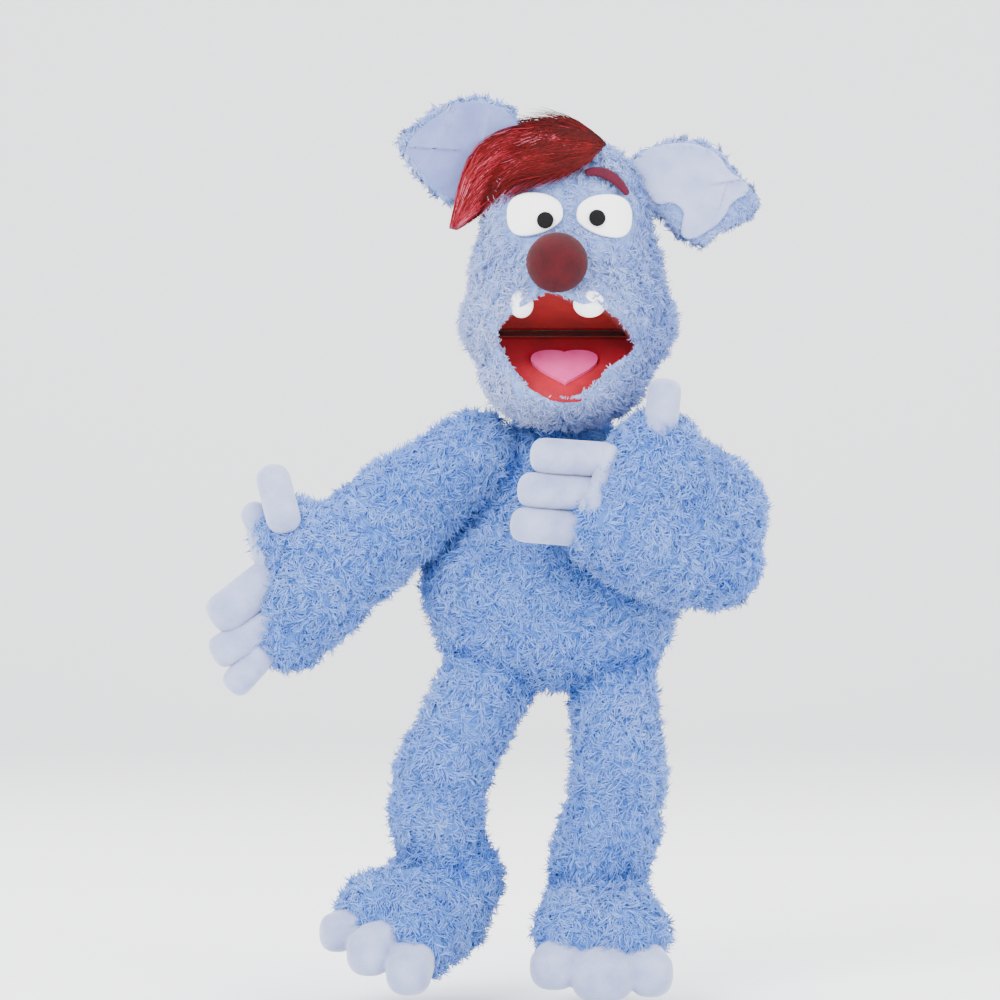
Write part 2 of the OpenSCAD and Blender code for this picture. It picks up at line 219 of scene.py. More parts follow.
def new_mesh(name, verts, faces, slots=None, normals=None):
    """A smooth mesh object from drawing millimetres and faces of equal or mixed length."""
    mesh = bpy.data.meshes.new(name)
    if isinstance(faces, np.ndarray):
        faces = [faces]
    loops = np.concatenate([f.reshape(-1) for f in faces])
    sizes = np.concatenate([np.full(len(f), f.shape[1]) for f in faces])
    starts = np.concatenate([[0], np.cumsum(sizes)[:-1]])
    mesh.vertices.add(len(verts))
    mesh.vertices.foreach_set("co", to_row(verts).astype(np.float32).ravel())
    mesh.loops.add(len(loops))
    mesh.loops.foreach_set("vertex_index", loops.astype(np.int32))
    mesh.polygons.add(len(sizes))
    mesh.polygons.foreach_set("loop_start", starts.astype(np.int32))
    mesh.polygons.foreach_set("use_smooth", np.ones(len(sizes), bool))
    if slots is not None:
        mesh.polygons.foreach_set("material_index", slots.astype(np.int32))
    mesh.update(calc_edges=True)
    if normals is not None:
        mesh.normals_split_custom_set_from_vertices(normals)
    obj = bpy.data.objects.new(name, mesh)
    bpy.context.scene.collection.objects.link(obj)
    return obj


def solid(name, field, low, high, step, material):
    """A closed smooth piece from a field."""
    verts, quads = surface(field, low, high, step)
    obj = new_mesh(name, verts, quads)
    obj.data.materials.append(material)
    return obj


# ---- materials ----


# How much richer and deeper a dye is than the colour it has in the bright studio light.
RICHNESS = 1.58
DEPTH = 0.7


def linear(r, g, b):
    """Display colour in 0 to 255 to scene-linear."""
    out = [c / 255 for c in (r, g, b)]
    return tuple(c / 12.92 if c < 0.04045 else ((c + 0.055) / 1.055) ** 2.4 for c in out) + (1,)


def dye(r, g, b):
    """A display colour, made deeper and richer so that it keeps under the bright studio light."""
    tone = np.array(linear(r, g, b)[:3])
    grey = tone @ [0.2126, 0.7152, 0.0722]
    return (*np.clip((grey + (tone - grey) * RICHNESS) * DEPTH, 0, 1).tolist(), 1)


def material(name, base, rough=0.9, sheen=0.0, sheen_tint=None):
    mat = bpy.data.materials.new(name)
    mat.use_nodes = True
    shader = mat.node_tree.nodes["Principled BSDF"]
    shader.inputs["Base Color"].default_value = base
    shader.inputs["Roughness"].default_value = rough
    shader.inputs["Sheen Weight"].default_value = sheen
    shader.inputs["Sheen Roughness"].default_value = 0.5
    shader.inputs["Sheen Tint"].default_value = sheen_tint or (1, 1, 1, 1)
    shader.inputs["Specular IOR Level"].default_value = 0.3
    return mat


def noise(mat, scale, detail=3.0):
    nodes, links = mat.node_tree.nodes, mat.node_tree.links
    place = nodes.new("ShaderNodeTexCoord")
    texture = nodes.new("ShaderNodeTexNoise")
    texture.inputs["Scale"].default_value = scale
    texture.inputs["Detail"].default_value = detail
    links.new(place.outputs["Object"], texture.inputs["Vector"])
    return texture.outputs["Fac"]


def ramp(mat, fac, *stops):
    """A colour ramp between two stops of position and colour."""
    node = mat.node_tree.nodes.new("ShaderNodeValToRGB")
    for element, (position, shade) in zip(node.color_ramp.elements, stops):
        element.position, element.color = position, shade
    mat.node_tree.links.new(fac, node.inputs["Fac"])
    return node.outputs["Color"]


def bump(mat, fac, depth, strength=1.0, after=None):
    node = mat.node_tree.nodes.new("ShaderNodeBump")
    node.inputs["Distance"].default_value = depth
    node.inputs["Strength"].default_value = strength
    mat.node_tree.links.new(fac, node.inputs["Height"])
    if after is not None:
        mat.node_tree.links.new(after, node.inputs["Normal"])
    return node.outputs["Normal"]


def finish_with(mat, base, normal=None):
    shader = mat.node_tree.nodes["Principled BSDF"]
    for socket, source in (("Base Color", base), ("Normal", normal)):
        if source is not None:
            mat.node_tree.links.new(source, shader.inputs[socket])
    return mat


def cloth(name, dark, light, patch=40, grain=900, depth=0.0006, sheen=0.3, rough=0.92):
    """Felt, minky or plush backing: two tones in patches, with a fine fibrous grain."""
    mat = material(name, light, rough, sheen)
    patches = noise(mat, patch, 4.0)
    fine = noise(mat, grain, 2.0)
    mixed = mat.node_tree.nodes.new("ShaderNodeMath")
    mixed.operation = "MULTIPLY_ADD"
    mat.node_tree.links.new(fine, mixed.inputs[0])
    mixed.inputs[1].default_value = 0.45
    mat.node_tree.links.new(patches, mixed.inputs[2])
    shade = ramp(mat, mixed.outputs[0], (0.45, dark), (0.95, light))
    normal = bump(mat, fine, depth, 0.8, bump(mat, patches, depth * 2, 0.5))
    return finish_with(mat, shade, normal)


PLUSH = [(80, 106, 178), (108, 136, 202), (132, 157, 218), (152, 176, 230), (176, 193, 238)]
FACE_PLUSH = [(118, 136, 190), (144, 160, 210), (166, 180, 222), (184, 194, 230), (200, 208, 238)]
HAIR = [(46, 6, 10), (60, 9, 13), (78, 14, 19), (102, 26, 32), (148, 62, 70), (188, 118, 130)]


def shades(name, tones, sheen=0.3):
    tint = dye(*tones[-1])
    return [material(f"{name}_{i}", dye(*tone), 0.9, sheen, tint) for i, tone in enumerate(tones)]


BODY_SHADES = shades("body_fur", PLUSH)
FACE_SHADES = shades("face_fur", FACE_PLUSH)
HAIR_SHADES = shades("red_hair", HAIR, 0.1)
# Both backings are darker than the middle of their pile: painted shade between the tufts, where the skin
# shows.
BODY_CLOTH = cloth("body_backing", dye(74, 102, 168), dye(118, 148, 204), 120, 700, 0.0012)
FACE_CLOTH = cloth("face_backing", dye(112, 132, 188), dye(164, 180, 220), 120, 700, 0.001)
MINKY = cloth("minky", dye(154, 161, 194), dye(192, 199, 226), 60, 1300, 0.0004, 0.5, 0.85)
# The right ear's lining is a darker, bluer copy of the left ear's cloth: painted shade.
LINING = {
    "right": cloth("ear_lining_painted_shade", dye(118, 126, 170), dye(152, 160, 200), 45, 1500, 0.0004, 0.4),
    "left": cloth("ear_lining", dye(166, 173, 208), dye(198, 204, 230), 45, 1500, 0.0004, 0.4),
}
PALATE = cloth("dark_red_felt", dye(116, 14, 30), dye(154, 24, 42), 60, 1400, 0.0003, 0.1)
FLOOR = cloth("bright_red_felt", dye(136, 6, 46), dye(170, 10, 62), 60, 1400, 0.0003, 0.1)
TONGUE = cloth("pink_felt", dye(214, 92, 144), dye(232, 116, 166), 70, 1400, 0.0003, 0.2)
NOSE = cloth("maroon_velour", dye(44, 8, 14), dye(72, 14, 24), 90, 1100, 0.0005, 0.02)
BROW = cloth("crimson_felt", dye(58, 0, 28), dye(84, 0, 40), 90, 1400, 0.0004, 0.0)
TOOTH = cloth("white_felt", linear(232, 230, 232), linear(250, 249, 249), 90, 1400, 0.0003, 0.2)
INNER = cloth("grey_lining", dye(60, 64, 74), dye(94, 98, 110), 60, 900, 0.0004, 0.1)
FILLING = cloth("wadding", dye(222, 222, 218), dye(246, 246, 243), 80, 500, 0.0015, 0.2, 0.95)
HAIR_CLOTH = cloth("hair_backing", dye(52, 4, 10), dye(90, 12, 20), 120, 900, 0.001, 0.1)
# The mouth fold's felt is near-black red, much darker than the palate's: painted shade in the crease where
# palate and floor meet.
FOLD = cloth("fold_felt_painted_shade", dye(36, 2, 8), dye(70, 6, 14), 60, 1400, 0.0003)
BOARD = cloth("mouth_card", dye(150, 128, 92), dye(190, 170, 132), 40, 900, 0.0002, 0.0, 0.7)
EYE_WHITE = cloth("eye_white", linear(246, 246, 247), linear(254, 254, 254), 30, 2000, 0.0001, 0.05, 0.45)
PUPIL = material("pupil_black", linear(14, 13, 15), 0.8)
PUPIL.node_tree.nodes["Principled BSDF"].inputs["Specular IOR Level"].default_value = 0.12
finish_with(PUPIL, ramp(PUPIL, noise(PUPIL, 900), (0.3, linear(10, 9, 11)), (0.8, linear(24, 23, 26))))


# ---- fur ----


def scatter(verts, quads, spacing, rng):
    """Evenly thinned random points on a mesh."""
    tris = np.concatenate([quads[:, [0, 1, 2]], quads[:, [0, 2, 3]]])
    a, b, c = (verts[tris[:, i]] for i in range(3))
    area = np.linalg.norm(np.cross(b - a, c - a), axis=1) / 2
    count = int(area.sum() / spacing**2 * 2.4)
    pick = rng.choice(len(tris), count, p=area / area.sum())
    u, v = rng.random((2, count))
    over = u + v > 1
    u[over], v[over] = 1 - u[over], 1 - v[over]
    spots = a[pick] + u[:, None] * (b - a)[pick] + v[:, None] * (c - a)[pick]
    key = np.floor(spots / spacing + rng.random(3)).astype(np.int64)
    _, first = np.unique(key @ np.array([1, 4096, 16777216]), return_index=True)
    return spots[np.sort(first)]


def patchy(p, size):
    """Slow random-looking variation over a surface, about -1 to 1."""
    q = p / size
    return (
        np.sin(q @ [1.0, 0.7, 0.4] + 1.3) * np.cos(q @ [-0.5, 1.1, 0.8])
        + 0.6 * np.sin(q @ [1.9, -1.3, 2.1] + 0.5) * np.cos(q @ [0.9, 2.2, -1.7])
    ) / 1.4


SEGMENTS = 3
PROFILE = (0.8, 1.1, 0.85)
STRANDS = 8
STRAND_WIDTH = 0.38
CURL = 2.4
ROOT_DEPTH = 1.2
TUFT_SPREAD = 1.25
SOFTNESS = 1.3
MAX_TRIANGLES = 190000
THIRDS = [2 * math.pi * corner / 3 for corner in range(3)]


def tube_faces(count, rings):
    """Quads and triangles of three-sided tubes of some rings, each ending in a point."""
    per = 3 * rings + 1
    last = 3 * (rings - 1)
    quads = [
        [3 * k + c, 3 * k + 3 + c, 3 * k + 3 + (c + 1) % 3, 3 * k + (c + 1) % 3]
        for k in range(rings - 1)
        for c in range(3)
    ]
    tips = [[last + (c + 1) % 3, last + c, per - 1] for c in range(3)]
    base = (np.arange(count) * per)[:, None, None]
    return (np.array(quads) + base).reshape(-1, 4), (np.array(tips) + base).reshape(-1, 3)


def strand_mesh(roots, heading, bend_axis, bend, length, width, up):
    """Vertices and soft normals of curling tapered strands."""
    axis = unit(bend_axis - (bend_axis * heading).sum(1)[:, None] * heading)
    side = np.cross(axis, heading)
    centre, step = roots.copy(), (length / SEGMENTS)[:, None]
    rings, ways = [], []
    for k in range(SEGMENTS + 1):
        turn = (bend * k / SEGMENTS)[:, None]
        ahead = np.cos(turn) * heading + np.sin(turn) * side
        if k:
            centre = centre + step * ahead
        if k == SEGMENTS:
            rings.append(centre)
            ways.append(ahead)
            continue
        out = np.cross(axis, ahead)
        for a in THIRDS:
            way = math.cos(a) * axis + math.sin(a) * out
            rings.append(centre + (width * PROFILE[k])[:, None] * way)
            ways.append(way)
    normals = unit(np.stack(ways, 1) + SOFTNESS * up[:, None])
    return np.stack(rings, 1).reshape(-1, 3), normals.reshape(-1, 3)


def tufts(name, spots, field, tones, length, comb=0.35, shade=0.0):
    """Curly tufts at the spots: a list of mesh objects, each of at most MAX_TRIANGLES triangles."""
    count = len(spots)
    normals = slope(field, spots)
    length, shade = np.broadcast_to(length, count), np.broadcast_to(shade, count)
    flow = DOWN - (DOWN * normals).sum(1)[:, None] * normals
    heading = unit(normals + comb * flow + rng.normal(0, 0.3, (count, 3)))
    axis = unit(rng.normal(0, 1, (count, 3)) + 0.5 * np.cross(normals, flow))
    bend = CURL * rng.uniform(0.4, 1.4, count)
    tone = 2.0 + shade + 0.5 * patchy(spots, 9) + 0.5 * patchy(spots, 34) + rng.normal(0, 0.45, count)
    order = np.argsort(spots[:, 2] + 0.3 * spots[:, 0])
    chunk = max(1, MAX_TRIANGLES // ((6 * SEGMENTS - 3) * STRANDS))
    made = []
    for part, start in enumerate(range(0, count, chunk)):
        pick = np.repeat(order[start : start + chunk], STRANDS)
        n = len(pick)
        spread = rng.normal(0, TUFT_SPREAD, (n, 3))
        spread -= (spread * normals[pick]).sum(1)[:, None] * normals[pick]
        verts, soft = strand_mesh(
            spots[pick] + spread - ROOT_DEPTH * normals[pick],
            unit(heading[pick] - 0.05 * spread + rng.normal(0, 0.12, (n, 3))),
            unit(axis[pick] + rng.normal(0, 0.25, (n, 3))),
            bend[pick] * rng.uniform(0.8, 1.2, n),
            (length[pick] + ROOT_DEPTH) * rng.uniform(0.7, 1.15, n),
            STRAND_WIDTH * rng.uniform(0.75, 1.25, n),
            normals[pick],
        )
        quads, tips = tube_faces(n, SEGMENTS)
        grade = tone[pick] + rng.normal(0, 0.25, n)
        # Painted shade at each strand's root and painted light at its tip: the lowest ring of faces takes a
        # darker tone, the point a lighter one.
        per_quad = np.repeat(grade[:, None] + [-0.9, -0.1], 3, 1).reshape(-1)
        slots = np.clip(np.round(np.concatenate([per_quad, np.repeat(grade + 0.6, 3)])), 0, len(tones) - 1)
        obj = new_mesh(name if count <= chunk else f"{name}_{part + 1}", verts, [quads, tips], slots, soft)
        for tone_mat in tones:
            obj.data.materials.append(tone_mat)
        made.append(obj)
    return made


# ---- forms ----

HEAD_X = 5.0
HINGE = pivot("mouth_open")
PALATE_RISE = math.radians(23)
FLOOR_DROP = math.radians(37)
MOUTH_TILT = (PALATE_RISE - FLOOR_DROP) / 2
NOSE_AT = middle("nose") - [0, 0, 8.5]
NOSE_R = 21.6
CUFF_AT = middle("hand_cuff")
CUFF_R = 45.5
BOARD_ROOM = 3.6
LIMB_BLEND = 10
BRANCH_BLEND = 12
MOUTH_OUTLINE = rounded(
    [(-45, 475), (-37, 485), (-23, 492), (-17, 498), (-10, 501), (-1, 499), (7, 495), (14, 491), (30, 490),
     (43, 479), (54, 463), (33, 452), (23, 438), (12, 431), (-3, 425), (-19, 433), (-30, 447), (-40, 461)], 1)


def mouth_height(p, angle, way):
    """Height above the palate plane (way 1) or above the floor plane (way -1)."""
    y, z = p[:, 1] - HINGE[1], p[:, 2] - HINGE[2]
    return way * y * math.sin(angle) + z * math.cos(angle)


def mouth_void(p):
    """The open mouth, between the palate and floor felts and their boards."""
    tunnel = outline_field(p[:, 0], p[:, 2], MOUTH_OUTLINE) - 1.5
    above = mouth_height(p, PALATE_RISE, 1) - BOARD_ROOM
    below = -BOARD_ROOM - mouth_height(p, FLOOR_DROP, -1)
    return meet(meet(tunnel, above, 3), meet(below, p[:, 1] - HINGE[1] - 2, 3), 3)


def jawward(p):
    """Distance from the mouth's middle plane towards the jaw."""
    y, z = p[:, 1] - HINGE[1], p[:, 2] - HINGE[2]
    return y * math.sin(-MOUTH_TILT) - z * math.cos(MOUTH_TILT)


def face_form(p):
    """Head and jaw together, before the mouth and the hand opening are cut."""
    skull = ellipsoid(p, [HEAD_X, 5, 562], [57, 56, 55])
    brow = ellipsoid(p, [HEAD_X, 0, 522], [66, 62, 38])
    muzzle = ellipsoid(p, [6, -10, 483], [75, 70, 49])
    nape = ellipsoid(p, [HEAD_X, 42, 468], [56, 28, 48])
    chin = ellipsoid(p, [3, -21, 443], [57, 43, 34])
    return joined(15, join(skull, brow, 24), muzzle, nape, chin)


def arm_hole(p):
    """The way in at the back for the hand."""
    radial = np.hypot(p[:, 0] - CUFF_AT[0], p[:, 2] - CUFF_AT[2]) - CUFF_R
    return np.maximum(radial, HINGE[1] + 5 - p[:, 1])


def head_field(p):
    """The face above the mouth's middle plane, and all of it behind the jaw."""
    hollow = np.maximum(4 - jawward(p), p[:, 1] - 16)
    return meet(meet(meet(face_form(p), -mouth_void(p), 3), -hollow, 6), -arm_hole(p), 2)


def jaw_field(p):
    """The face below the mouth's middle plane, in front of the neck."""
    hollow = np.maximum(-14 - jawward(p), p[:, 1] - 22)
    return meet(meet(meet(face_form(p) + 0.5, -mouth_void(p), 3), hollow, 6), -arm_hole(p), 2)


def torso_field(p):
    belly = ellipsoid(p, [-5, 20, 294], [92, 54, 64])
    seat = ellipsoid(p, [-4, 16, 256], [79, 44, 34])
    chest = ellipsoid(p, [0, 26, 362], [75, 38, 50])
    return joined(14, belly, seat, chest)


def chain(*balls):
    """A smooth limb through balls of x, y, z and radius."""
    balls = np.array(balls, float)

    def field(p):
        return joined(LIMB_BLEND, *[capsule(p, a[:3], b[:3], a[3], b[3]) for a, b in zip(balls, balls[1:])])

    return field


def both(a, b):
    return lambda p: join(a(p), b(p), BRANCH_BLEND)


UPPER_ARM = {
    "right": chain((-61, 10, 386, 31), (-113, 0, 349, 34), (-142, -9, 325, 34)),
    "left": chain((70, 8, 382, 31), (103, -10, 346, 40), (111, -28, 312, 27)),
}
FOREARM = {
    "right": both(
        chain((-142, -9, 324, 34), (-170, -16, 309, 34), (-192, -20, 330, 26)),
        chain((-150, -11, 314, 28), (-177, -18, 287, 32), (-192, -22, 259, 22)),
    ),
    "left": both(
        chain((111, -30, 311, 27), (84, -38, 322, 37), (56, -52, 332, 35), (30, -64, 336, 26)),
        chain((84, -38, 336, 34), (67, -55, 384, 30), (50, -62, 364, 28)),
    ),
}
PALM_PAD = {
    "right": chain((-218, -22, 345, 10), (-211, -26, 322, 7.5), (-210, -26, 290, 6.5)),
    "left": chain((34, -76, 388, 7), (22, -78, 352, 7), (14, -76, 326, 6)),
}
PALM = {"right": np.array([-189, -21, 302]), "left": np.array([47, -67, 353])}
LEG = {
    "right": chain((-49, 14, 232, 31), (-84, 0, 162, 29), (-89, 2, 130, 28.5), (-84, 4, 98, 29)),
    "left": chain((38, 14, 228, 29), (43, 2, 156, 29), (36, 4, 118, 31), (27, 6, 92, 32)),
}
FOOT = {
    "right": both(
        chain((-75, 6, 82, 28), (-132, -30, 62, 23), (-100, -46, 43, 21)),
        chain((-75, 6, 82, 28), (-80, -12, 56, 23), (-100, -46, 43, 21)),
    ),
    "left": both(
        chain((28, 14, 68, 30), (8, -40, 50, 22), (50, -40, 49, 22)),
        chain((28, 14, 68, 30), (50, -40, 49, 22)),
    ),
}
TOES = {
    "right": [(-158, -45, 50, 13, 14), (-135, -62, 38, 16, 17), (-107, -74, 25, 16, 16)],
    "left": [(-5, -60, 27, 17, 16), (29, -66, 20, 22, 17), (63, -60, 23, 16, 17)],
}
FINGER_NAMES = ("thumb", "index_finger", "middle_finger", "little_finger")
FINGERS = {
    "right": [
        ((-199, -41, 352), (-204, -30, 369), 12.5),
        ((-219, -24, 291), (-237, -27, 277), 15.5),
        ((-213, -25, 263), (-238, -28, 250), 12.8),
        ((-212, -25, 247), (-229, -28, 228), 11.3),
    ],
    "left": [
        ((69, -70, 400), (72, -76, 430), 12.3),
        ((20, -70, 385), (-10, -76, 387), 12.9),
        ((10, -70, 361), (-19, -76, 363), 12.8),
        ((6, -70, 336), (-24, -76, 338.5), 12.8),
    ],
}


def around(points, margin):
    pts = np.asarray(points, float).reshape(-1, 3)
    return pts.min(0) - margin, pts.max(0) + margin


# ---- plush pieces ----

rng = np.random.default_rng(7)
SPACING = 3.4
PILE_LENGTH = 10.2


def keep_to(spots, *tests):
    good = np.ones(len(spots), bool)
    for test in tests:
        good &= test(spots)
    return spots[good]


def outside(field, depth):
    return lambda p: field(p) > -depth


def painted_seam_shade(*fields):
    """Painted shade: how much darker the pile is where a piece meets these neighbours."""
    return lambda p: sum(-1.3 * np.exp(-((np.maximum(f(p), 0) / 9) ** 2)) for f in fields)


def plush(
    name, field, box, nodes, attach, tests=(), face=False, step=3.2, near=None, length=PILE_LENGTH, **fur
):
    """A stuffed skin with its curly pile, in place of some CAD nodes."""
    verts, quads = surface(field, *box, step)
    skin = new_mesh(f"{name}_plush", verts, quads)
    skin.data.materials.append(FACE_CLOTH if face else BODY_CLOTH)
    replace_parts(skin, *nodes)
    spots = keep_to(scatter(verts, quads, SPACING, rng), *tests)
    # near gives the pile's tone offsets: painted shade where pieces meet, and on the face its tone patches
    # with painted shade.
    shade = near(spots) if near else 0.0
    length = length(spots) if callable(length) else length
    tones = FACE_SHADES if face else BODY_SHADES
    for obj in (skin, *tufts(f"{name}_fur", spots, field, tones, length, shade=shade, **fur)):
        attach(obj)
    return skin, verts, quads


def stand_for(obj, node, body):
    """Puts a piece in place of one CAD node, on the body named."""
    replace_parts(obj, node)
    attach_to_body(obj, body)


def riding(body):
    return lambda obj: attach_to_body(obj, body)


def blending():
    """Bakes a piece's transform into its mesh, leaving it on no body."""
    return lambda obj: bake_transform(obj)


# ---- head and jaw ----

HAIR_UPPER = [(33, 611), (15, 622), (-10, 626), (-38, 623), (-66, 603), (-79, 551)]
HAIR_LOWER = [(30, 606), (16, 595), (-6, 588), (-36, 583), (-57, 567), (-75, 550)]

EYES = {"right": (-18.4, 558.4), "left": (30.9, 557.2)}
EYE_HALF = (19.8, 15.0)

BROW_STEPS = np.linspace(0, 1, 17)
BROWS = {
    "right": ((-33, 575), (-18, 584), (-4, 587), 3.3),
    "left": ((19.5, 588), (34, 586.5), (46.5, 575), 4.0),
}
TEETH = {"right": (-28, 493.5, 8.5), "left": (19.8, 493.5, 11.5)}


def brow_curve(side):
    """Points along an eyebrow's middle in front view."""
    a, b, c = (np.array(q, float) for q in BROWS[side][:3])
    return [(1 - t) ** 2 * a + t * (1 - t) * (4 * b - a - c) + t * t * c for t in BROW_STEPS]


def eye_shape(side, t):
    """Outline of an eye white about its middle: taller on its outer side."""
    out = OUTWARD[side]
    c, s = np.cos(t), np.sin(t)
    x = EYE_HALF[0] * np.sign(c) * np.abs(c) ** 0.88
    z = EYE_HALF[1] * np.sign(s) * np.abs(s) ** 0.82 * (1 + 0.12 * c * out)
    return np.stack([x, z - np.where(s < 0, 3.0 * c * out * np.abs(s), 0)], -1)


def eye_distance(p):
    """Distance in front view from the nearer eye white's edge."""
    ring = np.linspace(0, 2 * math.pi, 33)[:-1]
    best = [outline_field(p[:, 0] - x, p[:, 2] - z, eye_shape(side, ring)) for side, (x, z) in EYES.items()]
    return np.where(p[:, 1] < 0, np.minimum(*best), 1e3)


def covered(p):
    """Where an eyebrow or a tooth lies on the face, in front view."""
    flat, front = p[:, [0, 2]], p[:, 1] < 0
    hit = np.zeros(len(p), bool)
    for side in SIDES:
        for spot in brow_curve(side):
            hit |= np.linalg.norm(flat - spot, axis=1) < BROWS[side][3] - 0.5
        x, z, wide = TEETH[side]
        oval = np.hypot((flat[:, 0] - x) / (wide - 1), (flat[:, 1] - z + 0.5) / 8)
        hit |= (oval < 1) & (flat[:, 1] < z + 3)
    return hit & front


def under_hair(p):
    """Under the hair, where the skin is bare backing."""
    patch = outline_field(p[:, 0], p[:, 2], np.array(HAIR_UPPER + HAIR_LOWER[::-1], float))
    return (patch < -0.5) & (p[:, 1] < 30)


def clear_of_face(p):
    """Where the face has pile: clear of eyes, nose, lips, brows, teeth, hair and hand opening."""
    nose = np.linalg.norm(p - NOSE_AT, axis=1) > NOSE_R - 1
    lips = (mouth_void(p) > 1.6) | (face_form(p) > -3.5)
    hole = (arm_hole(p) > 1.5) | (face_form(p) > -3)
    return (eye_distance(p) > 0.4) & nose & lips & hole & ~covered(p) & ~under_hair(p)


def face_length(p):
    """Length of the pile, shorter near the eyes, nose and lips."""
    near_eye = np.clip(eye_distance(p) / 16, 0, 1)
    near_lip = np.clip((mouth_void(p) - 1) / 12, 0, 1)
    near_nose = np.clip((np.linalg.norm(p - NOSE_AT, axis=1) - NOSE_R) / 14, 0, 1)
    return 3.8 + 5.2 * np.minimum(np.minimum(near_eye, near_nose), near_lip)


def face_tone_and_painted_shade(p):
    """The pile is paler and lilac round the muzzle and low on the chin, and darker and bluer on the crown;
    painted shade darkens it towards the back of the head and on the side towards +X.
    """
    muzzle = np.exp(-(((p[:, 2] - 470) / 42) ** 2)) * (p[:, 1] < 10)
    shadow = np.clip((p[:, 1] - 10) / 30, 0, 1) + 2.2 * np.clip((p[:, 0] - 28) / 40, 0, 1)
    return 0.5 * muzzle + 0.5 * (p[:, 2] < 440) - 0.7 * shadow - 0.3 * (p[:, 2] > 575)


def line_skin(skin, verts, quads):
    """Red felt on the faces deep inside the mouth, red backing on those under the hair."""
    centre = verts[quads].mean(1)
    inside = (mouth_void(centre) < 1.5) & (face_form(centre) < -6)
    skin.data.materials.append(PALATE)
    skin.data.materials.append(HAIR_CLOTH)
    skin.data.polygons.foreach_set("material_index", (inside + 2 * under_hair(centre)).astype(np.int32))


jaw_blend = blending()
head = plush(
    "head", head_field, ([-90, -100, 395], [100, 90, 640]), ["head_skin", "head_foam"], riding("head"),
    [clear_of_face, lambda p: jaw_field(p) > -1], True, 2.8, face_tone_and_painted_shade, face_length, comb=0.45,
)
line_skin(*head)
jaw = plush(
    "jaw", jaw_field, ([-90, -100, 385], [100, 60, 520]), ["jaw_skin", "jaw_foam"], jaw_blend,
    [clear_of_face, lambda p: head_field(p) > -1], True, 2.8, face_tone_and_painted_shade, face_length,
)
line_skin(*jaw)

# ---- torso and neck ----

JAWS = [head_field, jaw_field]
LIMBS = [*UPPER_ARM.values(), *LEG.values()]
plush(
    "torso", torso_field, ([-108, -50, 205], [100, 95, 425]), ["torso_skin", "torso_filling"],
    riding("torso"), [outside(f, 6) for f in LIMBS], near=painted_seam_shade(*LIMBS),
)
NECK = middle("neck_collar")
COLLAR = chain((*NECK + [0, 0, 12], 30), (*NECK + [-1, -6, -16], 35))
plush(
    "neck", lambda p: meet(COLLAR(p), -arm_hole(p), 2), around([NECK], 62), ["neck_collar"],
    blending(),
    [*(outside(f, 3) for f in (torso_field, *JAWS)), lambda p: arm_hole(p) > 7], near=painted_seam_shade(*JAWS),
)

# ---- arms and legs ----


def arm(side):
    """Upper arm, sleeve and mitt in one skin."""
    shoulder, elbow = pivot(f"arm_raise_{side}"), pivot(f"elbow_{side}")
    plush(
        f"arm_{side}", both(UPPER_ARM[side], FOREARM[side]), around([shoulder, elbow, PALM[side]], 70),
        [f"upper_arm_skin_{side}", f"upper_arm_filling_{side}", f"glove_{side}"],
        blending(),
        [outside(torso_field, 14)], near=painted_seam_shade(torso_field),
    )


def leg(side):
    """Thigh and shin in one skin."""
    hip, knee, ankle = (pivot(f"{joint}_{side}") for joint in ("hip", "knee", "ankle"))
    nodes = [f"{part}_{kind}_{side}" for part in ("thigh", "shin") for kind in ("skin", "filling")]
    plush(
        f"leg_{side}", LEG[side], around([hip, knee, ankle], 42), nodes,
        blending(),
        [outside(torso_field, 12), outside(FOOT[side], 10)], near=painted_seam_shade(torso_field, FOOT[side]),
    )


def toe_form(toes, heel):
    """Blunt toes that run back towards the heel."""

    def field(p):
        lobes = []
        for x, y, z, wide, tall in toes:
            forward = unit(np.array([x, y, z]) - heel)
            q = p - [x, y, z]
            back = np.clip(-(q @ forward), 0, 26)
            q = q + back[:, None] * forward * [1, 1, 0.5]
            power = ((np.abs(q) / [wide, 17, tall]) ** 2.5).sum(1) ** (1 / 2.5)
            lobes.append((power - 1) * min(wide, tall))
        return joined(2.5, *lobes)

    return field


def foot(side):
    """A furry foot and its three bare toes."""
    ankle = pivot(f"ankle_{side}")
    toes = toe_form(TOES[side], ankle)
    tips = [ball[:3] for ball in TOES[side]]
    plush(
        f"foot_{side}", FOOT[side], around(tips + [ankle, ankle - [0, 0, 60]], 62), [f"foot_skin_{side}"],
        riding(f"foot_{side}"), [outside(LEG[side], 10), lambda p: toes(p) > 0.2], near=painted_seam_shade(LEG[side]),
    )
    piece = solid(f"toes_plush_{side}", toes, *around(tips, 48), 2.0, MINKY)
    stand_for(piece, f"toes_{side}", f"foot_{side}")


for side in SIDES:
    arm(side)
    leg(side)
    foot(side)

# ---- hands ----


def finger_field(root, tip, r):
    """A blunt stuffed finger with a sewn line along its side."""
    root, tip = np.array(root, float), np.array(tip, float)
    axis = unit(tip - root)
    core = np.linalg.norm(tip - root) - 0.1 * r

    def field(p):
        q = p - root
        along = q @ axis
        across = q - along[:, None] * axis
        radial = np.linalg.norm(across, axis=1)
        past = np.maximum(np.maximum(along - core, -8 - along), 0)
        body = (radial**2.7 + past**2.7) ** (1 / 2.7) - r
        seam = across @ unit(np.cross(axis, [0.25, 1, 0]))
        hollow = np.exp(-((across[:, 1] + r) ** 2) / 60) * np.exp(-((along - 0.35 * core) ** 2) / 18)
        return body + 0.5 * np.exp(-((np.abs(seam) - r) ** 2) / 1.5) + 1.1 * hollow

    return field


